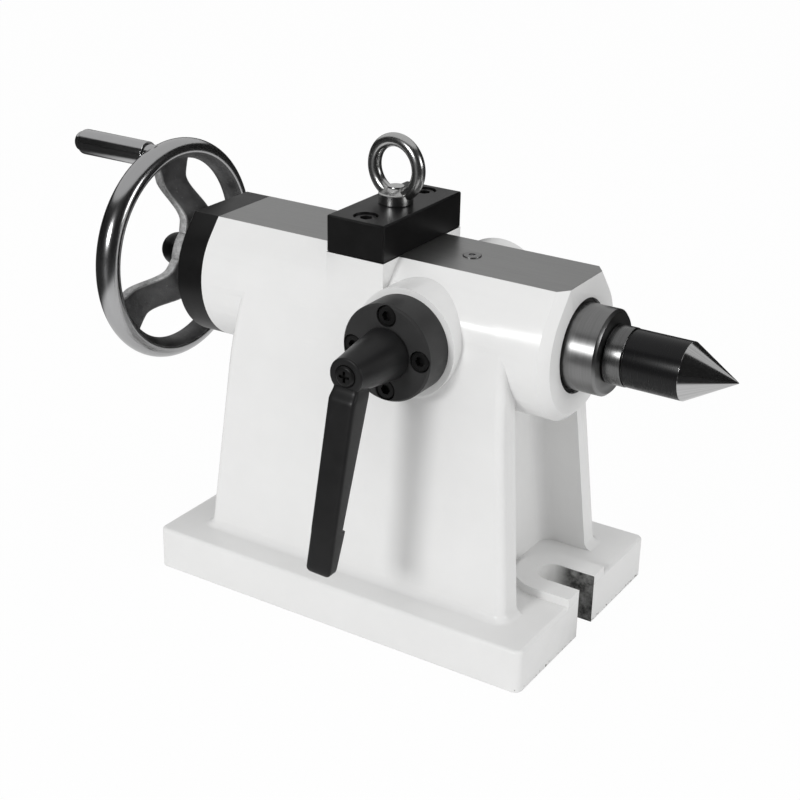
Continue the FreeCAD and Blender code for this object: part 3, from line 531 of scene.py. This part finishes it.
# %% Rim, arms and hub
rim_x, rim_r, rim_half_width, rim_half_depth = -132.2, 49.0, 6.2, 4.8
hub_front, hub_back, hub_r, bore_r = -106.0, -122.3, 16.5, 7.02
washer_face, washer_recess = -119.0, 10.6
t = np.linspace(0, 2 * np.pi, 257)
around = np.linspace(0, 2 * np.pi, 72, endpoint=False)
rim_section = np.stack([rim_half_width * np.cos(around), rim_half_depth * np.sin(around)], -1)
circle = np.stack([np.zeros_like(t), np.cos(t), np.sin(t)], -1)
ahead_x = np.tile([1.0, 0.0, 0.0], (len(t), 1))
rim_grid = swept(circle * rim_r + [rim_x, 0, centre_height], ahead_x, circle, rim_section[None])

arm_rows, bend_start, bend_length = 60, 18.5, 17.5
reach = np.linspace(hub_r - 3.0, rim_r - 3.6, arm_rows)
bend = np.clip((reach - bend_start) / bend_length, 0, 1)
bend = bend * bend * (3 - 2 * bend)
arm_root_x, arm_tip_x = -119.4, -133.0
arm_x = arm_root_x + (arm_tip_x - arm_root_x) * bend
waist_r, waist_reach, waist_half, flare = 29.6, 18.6, 8.25, 5.25
waist = (reach - waist_r) / waist_reach
arm_half = waist_half + flare * waist ** 2 * np.where(waist > 0, 1.0, 0.55)
arm_half_depth = 2.6
corner = np.linspace(0, 2 * np.pi, 64, endpoint=False)
round_out = lambda a: np.sign(a) * np.abs(a) ** 0.25
arm_section = np.stack([round_out(np.cos(corner)), round_out(np.sin(corner))], -1)
arm_grids = []
for angle in (92.0, 212.0, 332.0):
    turn = math.radians(angle)
    radial = np.array([0, math.cos(turn), math.sin(turn)])
    across = np.array([0, -math.sin(turn), math.cos(turn)])
    middle = radial * reach[:, None] + np.array([1.0, 0, 0]) * arm_x[:, None] + [0, 0, centre_height]
    halves = np.stack([arm_half, np.full_like(arm_half, arm_half_depth)], -1)
    arm_grids.append(swept(middle, np.tile(across, (arm_rows, 1)), np.tile([1.0, 0, 0], (arm_rows, 1)),
                           arm_section[None] * halves[:, None]))
# Painted highlight: 1 on the arms' side edges.
arm_edge_highlight = np.tile(np.clip(np.abs(arm_section[:, 0]) * 8 - 6.9, 0, 1), len(reach) * 3)
edge = 1.2
hub_profile = [(hub_front, bore_r), (hub_front, hub_r - edge)]
hub_profile += arc(hub_front - edge, hub_r - edge, edge, 0, 90)
hub_profile += arc(hub_back + edge, hub_r - edge, edge, 90, 180)
hub_profile += [(hub_back, washer_recess), (washer_face, washer_recess), (washer_face, bore_r)]
hub_grid = turned(hub_profile + [(hub_front, bore_r)])
# Painted highlight on the hub's skin.
hub_skin_highlight = np.hypot(hub_grid[..., 1], hub_grid[..., 2] - spindle).ravel() > (hub_r - 0.6) * mm
highlight_marks = np.concatenate([np.zeros(rim_grid[..., 0].size), arm_edge_highlight, hub_skin_highlight])
lattice("handwheel_cast", [rim_grid, *arm_grids, hub_grid], "handwheel", wheel_finish, 50.0, highlight_marks)

# %% [markdown]
# ## The crank handle
# A slim turned grip runs loose on a shouldered stud. Its domed head keeps the grip on, with a
# fine gap that shows as a dark line at the free end.

# %% Grip and stud
handle_turn = math.radians(102.0)
handle_y, handle_z = rim_r * math.cos(handle_turn), centre_height + rim_r * math.sin(handle_turn)
root_x, end_x, grip_bore = -138.7, -178.7, 3.25
grip = [(root_x, grip_bore), (root_x, 5.6)] + arc(root_x - 0.3, 5.7, 0.3, 0, 90, 7)
grip += arc(end_x + 1.6, 4.5, 1.6, 90, 180, 9) + [(end_x, grip_bore), (root_x, grip_bore)]
lattice("crank_grip", [turned(grip, handle_y, handle_z, 96)], "crank_handle", chrome)
pin_x, shoulder_r, pin_r = -133.0, 5.0, 3.2
head = [(pin_x, 0), (pin_x, shoulder_r), (root_x + 0.15, shoulder_r), (root_x + 0.15, pin_r)]
head += [(end_x - 0.05, pin_r), (end_x - 0.05, 4.8)]
head += arc(end_x - 1.0, 2.7, 2.1, 90, 180, 12) + [(end_x - 3.1, 0)]
lattice("grip_stud", [turned(head, handle_y, handle_z, 96)], "handle_stud", chrome)

# %% [markdown]
# ## The clamping lever
# One casting: a conical hub with a round outer end, and an arm that grows out of it below the
# screw. With s the share of the arm's length, its width and thickness fall in straight lines, w =
# 13 - s and t = 14 - 9.5 s, while the arm leans outwards. A smooth step carries its front face
# from the hub's end to that lean.

# %% Hub and arm
stud_x, lever_root, lever_end, web_front, web_back = 23.8, -55.3, -84.1, -73.8, -70.8
insert_r, head_r, screw_r = 7.55, 4.55, 2.55
hub = [(web_back, insert_r), (lever_root, insert_r), (lever_root, 11.1), (lever_root - 0.4, 11.5)]
hub += [(-61.06, 10.9), (-83.2, 7.75)] + arc(lever_end + 0.9, 6.9, 0.9, 70, 180, 8)
hub += [(lever_end, 4.9), (lever_end + 0.35, head_r), (web_front, head_r)]
hub += [(web_front, screw_r), (web_back, screw_r), (web_back, insert_r)]
lever_hub = turned(hub, 0.0, 0.0, 96)[..., [1, 0, 2]] + np.array([stud_x, 0, centre_height]) * mm

arm_top, step_drop, round_drop = 4.9, 66.5, 82.0
drop = np.concatenate([[arm_top], np.linspace(arm_top, 66.0, 60),
                       np.linspace(step_drop, round_drop, 12), [83.0, 83.7, 84.0, 84.0]])
share = (drop + 6.0) / 90.0
grown = np.clip((drop - arm_top) / 5.5, 0, 1)
grown = grown * grown * (3 - 2 * grown)
lean = math.radians(9.7)
full_front = lever_end - 0.3 - math.tan(lean) * (drop + 6.0)
tip_share = np.clip((drop - step_drop) / (round_drop - step_drop), 0, 1)
tip_step = np.where(drop > 66.2, 2.4 - 0.96 * tip_share, 0.0)
arm_back = full_front + 14.0 - 9.5 * share + tip_step
arm_front = lever_end - 0.2 + (full_front - lever_end + 0.2) * grown
rounding = np.sqrt(np.clip(1 - ((drop - round_drop) / 2.0).clip(0, 1) ** 2, 0.09, 1))
half_width = (6.5 - 0.5 * share - 0.6 * (1 - grown)) * (0.7 + 0.3 * rounding)
half_depth = (arm_back - arm_front) / 2 * (0.6 + 0.4 * rounding)
half_width[[0, -1]] = half_depth[[0, -1]] = 0.0
section = arm_section[None] * np.stack([half_width, half_depth], -1)[:, None]
tilt = math.radians(2.0)
sideways = np.tile([math.cos(tilt), 0, -math.sin(tilt)], (len(drop), 1))
centres = np.stack([stud_x - drop * math.sin(tilt), (arm_back + arm_front) / 2,
                    centre_height - drop * math.cos(tilt)], -1)
lever_arm = swept(centres, sideways, np.tile([0.0, 1.0, 0.0], (len(drop), 1)), section)
lattice("lever_cast", [lever_hub, lever_arm], "clamp_lever", lever_coat, 40.0)

# %% [markdown]
# ## The lifting eye
# A forged ring stands on a round collar, and the two flow into each other. The ring is turned a
# little about the vertical, as far as the thread let it tighten.

# %% Ring and collar
eye_x, eye_base, ring_up, ring_r, ring_wire = -7.1, 180.4, 15.7, 12.2, 3.0
t = np.linspace(0, 2 * np.pi, 129)
circle = np.stack([np.cos(t), np.zeros_like(t), np.sin(t)], -1)
depthwise = np.tile([0.0, 1.0, 0.0], (len(t), 1))
wire_section = ring_wire * np.stack([np.cos(around), np.sin(around)], -1)
ring_grid = swept(circle * ring_r + [0, 0, ring_up], depthwise, circle, wire_section[None])
shank_end, shank_r, collar_r = -13.0, 4.0, 7.7
collar = [(shank_end, 0), (shank_end, 3.6), (-12.6, shank_r), (-0.2, shank_r), (0.0, 7.3)]
collar += [(0.4, collar_r), (4.6, collar_r), (5.0, 7.4)]
neck = np.linspace(0, 1, 10)
collar += list(zip(5.1 + 2.6 * neck, 7.2 - 3.6 * np.sin(np.pi / 2 * neck) ** 0.8)) + [(7.7, 0)]
upright = turned(collar, 0.0, 0.0, 96)[..., [1, 2, 0]]
turn = math.radians(-6.6)
spin = np.array(Matrix.Rotation(turn, 3, "Z"))
place = np.array([eye_x, 0, eye_base]) * mm
lattice("eye_forging", [g @ spin.T + place for g in (ring_grid, upright)], "eye_bolt", stainless)

# %% [markdown]
# ## The centre
# The centre has a taper shank in the quill, a ground collar, a blackened body and a polished
# sixty degree point. A narrow groove parts the collar from the body.

# %% Centre
cone_start, cone_r = 134.5, 12.45
cone_end = cone_start + cone_r / math.tan(math.radians(30.0))
centre = [(30.0, 0), (30.0, 9.5), (30.6, 10.1), (100.0, 11.85), (100.0, 11.35)]
centre += [(101.4, 11.35), (101.4, 12.2)] + arc(101.9, 12.2, 0.5, 180, 90, 5)
centre += arc(108.9, 12.2, 0.5, 90, 0, 5) + [(109.4, 11.7), (109.7, 11.7)]
centre += arc(110.4, 11.75, 0.7, 180, 90, 6)
centre += [(cone_start, cone_r), (cone_end - 0.5, 0.3), (cone_end - 0.3, 0)]
lattice("centre_point", [turned(centre, columns=192)], "dead_centre", centre_finish, 20.0)

# %% [markdown]
# ## Threads and the spring
# The lead screw has a trapezoidal thread of 4 mm lead. With w the fraction of a turn at a point,
# w = x / lead + hand * t / 2 pi without its whole part, the flank is the wave |2 w - 1| cut off at
# a quarter and at three quarters. A hand of 1 gives a left-hand helix and -1, as here, a
# right-hand one. The spring is a helix of wire whose last turns lie flat, so that its ends sit
# square.

# %% Lead screw and spring
def threaded(grid, start, end, lead, depth, radius, hand=1):
    """Cuts w = x / lead + hand * t / 2 pi into a turned grid, from start to end along x."""
    points = grid / mm
    t = np.arctan2(points[..., 2] - centre_height, points[..., 1])
    w = (points[..., 0] / lead + hand * t / (2 * np.pi)) % 1.0
    wave = np.clip(2 * np.abs(2 * w - 1) - 0.5, 0, 1)
    inside = (points[..., 0] > start) & (points[..., 0] < end)
    shrink = np.where(inside, 1 - depth * wave / radius, 1.0)[..., None]
    axis = np.array([0, 0, centre_height])
    across = (points - axis) * [0, 1, 1]
    return (points * [1, 0, 0] + axis + across * shrink) * mm


thread_r, thread_end, lead, thread_depth = 8.0, -56.0, 4.0, 1.6
screw = [(15.5, 0), (15.5, 6.5)] + [(x, thread_r) for x in np.linspace(14.0, thread_end, 281)]
steps = ((thread_end, 10.0), (-69.0, 17.0), (-74.0, 10.0), (-82.95, 8.0), (-106.0, 7.0), (-118.0, 5.0))
for (step_x, step_r), (next_x, _) in zip(steps, steps[1:] + ((-133.6, 0),)):
    screw += [(step_x, step_r), (next_x, step_r)]
screw += [(-133.6, 0)]
threaded_grid = threaded(turned(screw, columns=64), -55.0, 13.5, lead, thread_depth, thread_r, -1)
lattice("thread_cut_screw", [threaded_grid], "lead_screw", ground_steel)

turns, coil_r, wire_r, spring_back, spring_front = 6.0, 3.65, 0.5, -81.3, -74.0
coil_rows = 241
share = np.linspace(0, 1, coil_rows)
t = 2 * np.pi * turns * share
climb = np.clip((share * turns - 0.8) / (turns - 1.6), 0, 1)
along = spring_back + wire_r + (spring_front - spring_back - 2 * wire_r) * climb
outward = np.stack([np.cos(t), np.zeros_like(t), np.sin(t)], -1)
coil = outward * coil_r + np.stack([np.full_like(t, stud_x), along, np.full_like(t, centre_height)], -1)
round_wire = np.linspace(0, 2 * np.pi, 14, endpoint=False)
wire_section = wire_r * np.stack([np.cos(round_wire), np.sin(round_wire)], -1)
wire = np.tile(wire_section, (coil_rows, 1, 1))
wire[[0, -1]] = 0.0
coil_grid = swept(coil, np.tile([0.0, 1.0, 0.0], (coil_rows, 1)), outward, wire)
spring = lattice("wire_coil", [coil_grid], "lever_spring", spring_steel)
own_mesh(spring)

# %% [markdown]
# ## The thrust bearings
# Each bearing has two grooved races and a row of balls. A ball is a small sphere, turned on its
# own line along x and set on the ring at equal angles.

# %% Races and balls
def bearing(node, start):
    """Two races with a round groove each, and fourteen balls that run in the grooves."""
    race, ball_r, row_r, half_height, balls = 2.55, 2.6, 15.5, 4.5, 14
    inner_r, outer_r, middle = 10.05, 20.95, start + half_height
    dip = math.degrees(math.asin((half_height - race) / ball_r))
    left = [(start + 0.05, inner_r), (start + 0.05, outer_r), (start + race, outer_r)]
    groove = arc(middle, row_r, ball_r + 0.02, 180 - (90 - dip), 180 + (90 - dip), 13)
    left += groove + [(start + race, inner_r), (start + 0.05, inner_r)]
    mirror = [(2 * middle - x, r) for x, r in left]
    grids = [turned(left, columns=96), turned(mirror, columns=96)]
    for angle in np.arange(balls) * 2 * np.pi / balls:
        place_y, place_z = row_r * math.cos(angle), centre_height + row_r * math.sin(angle)
        grids.append(turned(arc(middle, 0.0, ball_r, 0, 180, 17), place_y, place_z, 24))
    lattice(node + "_balls", grids, node, bearing_steel)


bearing("rear_thrust_bearing", -83.0)
bearing("front_thrust_bearing", -69.0)

# %% [markdown]
# ## Edges that catch the light
# A milled edge is never a line: a file or the paint rounds it. These pieces keep their CAD
# shape, and a bevel of a few tenths of a millimetre takes the sharpness off. The bevel is
# worked into the mesh together with its normals, so that a large flat face mirrors its
# surroundings without a streak.

# %% Softened copies
def softened(node, finish, width, limit=40.0):
    """The node's own mesh, closed up again and with every sharp edge rounded by width."""
    mesh = frame["nodes"][node].data.copy()
    work = bmesh.new()
    work.from_mesh(mesh)
    bmesh.ops.remove_doubles(work, verts=work.verts, dist=1e-6)
    flat_within = math.radians(0.4)
    bmesh.ops.dissolve_limit(work, angle_limit=flat_within, verts=work.verts, edges=work.edges)
    work.to_mesh(mesh)
    work.free()
    mesh.shade_smooth()
    mesh.set_sharp_from_angle(angle=math.radians(limit))
    mesh.materials.clear()
    mesh.materials.append(finish.material)
    made = bpy.data.objects.new(node + "_soft", mesh)
    bpy.context.scene.collection.objects.link(made)
    edge = made.modifiers.new("edges", "BEVEL")
    edge.limit_method = "ANGLE"
    edge.angle_limit = math.radians(limit)
    edge.width = width * mm
    edge.segments = 3
    edge.harden_normals = True
    bpy.context.view_layer.update()
    rounded = made.evaluated_get(bpy.context.evaluated_depsgraph_get())
    made.data = settled(bpy.data.meshes.new_from_object(rounded))
    made.modifiers.clear()
    stand_in(made, node)
    return made


def settled(mesh):
    """Large level faces keep their own normal, so no shading of a hole's edge runs across them."""
    smallest = (10.0 * mm) ** 2
    count = len(mesh.polygons)
    normals, areas, corners = np.empty(count * 3), np.empty(count), np.empty(count, int)
    mesh.polygons.foreach_get("normal", normals)
    mesh.polygons.foreach_get("area", areas)
    mesh.polygons.foreach_get("loop_total", corners)
    normals = normals.reshape(-1, 3)
    shaded = np.empty(len(mesh.loops) * 3)
    mesh.corner_normals.foreach_get("vector", shaded)
    level = np.repeat((normals[:, 2] > 0.99999) & (areas > smallest), corners)
    shaded = np.where(level[:, None], np.repeat(normals, corners, axis=0), shaded.reshape(-1, 3))
    mesh.normals_split_custom_set(shaded.tolist())
    return mesh


soft_edges = (
    ("body_casting", enamel, 0.8),
    ("lifting_block", oxide, 0.25),
    ("clamp_flange", flange_oxide, 0.35),
    ("rear_cap", oxide, 0.25),
    ("handwheel_nut", oxide, 0.2),
    ("handwheel_washer", oxide, 0.2),
    ("quill", ground_steel, 0.15),
    ("lever_screw", oxide, 0.12),
)
for name, finish, width in soft_edges:
    print(softened(name, finish, width).name)

# %% [markdown]
# ## Floor, walls and lamps
# The object stands on a white table under soft light. A large lamp from the front makes the key
# light, a second one from the right lights the end, and the even world light fills the shadows.
# Polished steel shows what stands around it, as in a real studio. A round dark wall that only
# reflections can see gives the chrome its dark bands; its top slopes from low at the back left to
# high at the front right. In reflections the table is white only near the part.

# %% Studio
def plane(name, corners, finish):
    """One four-sided face that belongs to the stage, not to the part."""
    mesh = bpy.data.meshes.new(name)
    mesh.from_pydata([Vector(c) for c in corners], [], [(0, 1, 2, 3)])
    mesh.materials.append(finish.material)
    made = bpy.data.objects.new(name, mesh)
    bpy.context.scene.collection.objects.link(made)


table_finish = Finish("white_table", Roughness=0.6)
x, y, z = table_finish.axes()
near_radius, far_radius = 0.29, 0.35
near = 1 - (x * x + y * y).between(near_radius ** 2, far_radius ** 2)
shown = table_finish.tree.nodes.new("ShaderNodeEmission")
shown.inputs["Strength"].default_value = 1.0
seen_part = table_finish.tree.nodes.new("ShaderNodeMixShader")
camera_ray = table_finish.node("ShaderNodeLightPath", {}, out="Is Camera Ray")
glossy_ray = table_finish.node("ShaderNodeLightPath", {}, out="Is Glossy Ray")
share = camera_ray * 0.97 + glossy_ray * near * 0.25
beyond = glossy_ray * (1 - near)
table_finish.feed(Base_Color=table_finish.mixed(beyond, (0.86, 0.86, 0.86), (0.02, 0.02, 0.02)))
links = table_finish.tree.links
links.new(share.socket, seen_part.inputs[0])
links.new(table_finish.shader.outputs[0], seen_part.inputs[1])
links.new(shown.outputs[0], seen_part.inputs[2])
links.new(seen_part.outputs[0], table_finish.tree.nodes["Material Output"].inputs["Surface"])
plane("floor", [(-6, -6, 0), (6, -6, 0), (6, 6, 0), (-6, 6, 0)], table_finish)

room_finish = Finish("dark_room", Base_Color=(0.02, 0.02, 0.02), Roughness=1.0)
wall_sides, wall_radius = 64, 3.0
wall_height, wall_slope, slope_turn = 3.2, 2.7, math.radians(48.0)
turns = np.linspace(0, 2 * np.pi, wall_sides + 1)[:-1]
ring = np.stack([np.cos(turns), np.sin(turns)], -1) * wall_radius
wall_top = wall_height - wall_slope * np.sin(turns - slope_turn)
wall_points = np.concatenate([np.insert(ring, 2, 0.02, 1), np.insert(ring, 2, wall_top, 1)])
index = np.arange(wall_sides)
after = (index + 1) % wall_sides
wall_faces = np.stack([index, after, after + wall_sides, index + wall_sides], -1)
wall_mesh = bpy.data.meshes.new("dark_room")
wall_mesh.from_pydata(wall_points.tolist(), [], wall_faces.tolist())
wall_mesh.materials.append(room_finish.material)
room = bpy.data.objects.new("dark_room", wall_mesh)
bpy.context.scene.collection.objects.link(room)
room.visible_camera = room.visible_diffuse = room.visible_shadow = room.visible_transmission = False

world = bpy.data.worlds.new("studio")
bpy.context.scene.world = world
world.use_nodes = True
links = world.node_tree.links
background = world.node_tree.nodes["Background"]
background.inputs["Color"].default_value = (1, 1, 1, 1)
background.inputs["Strength"].default_value = 0.62
seen = world.node_tree.nodes.new("ShaderNodeBackground")
seen.inputs["Color"].default_value = (1, 1, 1, 1)
seen.inputs["Strength"].default_value = 1.0
path = world.node_tree.nodes.new("ShaderNodeLightPath")
blend = world.node_tree.nodes.new("ShaderNodeMixShader")
links.new(path.outputs["Is Camera Ray"], blend.inputs[0])
links.new(background.outputs[0], blend.inputs[1])
links.new(seen.outputs[0], blend.inputs[2])
links.new(blend.outputs[0], world.node_tree.nodes["World Output"].inputs["Surface"])


def lamp(name, toward, distance, size, power):
    """Area lamp that shines on the barrel from the direction toward."""
    data = bpy.data.lights.new(name, "AREA")
    data.shape = "DISK"
    data.size = size
    data.energy = power
    made = bpy.data.objects.new(name, data)
    bpy.context.scene.collection.objects.link(made)
    direction = Vector(toward).normalized()
    made.location = Vector((0, 0, 0.1)) + direction * distance
    made.rotation_mode = "QUATERNION"
    made.rotation_quaternion = (-direction).to_track_quat("-Z", "Y")


key_side, key_height = math.radians(8.5), math.radians(22.5)
key_level = Vector((-math.sin(key_side), -math.cos(key_side), 0)) * math.cos(key_height)
key_toward = key_level + Vector((0, 0, math.sin(key_height)))
lamp("key", key_toward, distance=2.2, size=0.5, power=17.2)
lamp("fill", (1.0, 0.12, 0.35), distance=2.2, size=0.9, power=9.3)
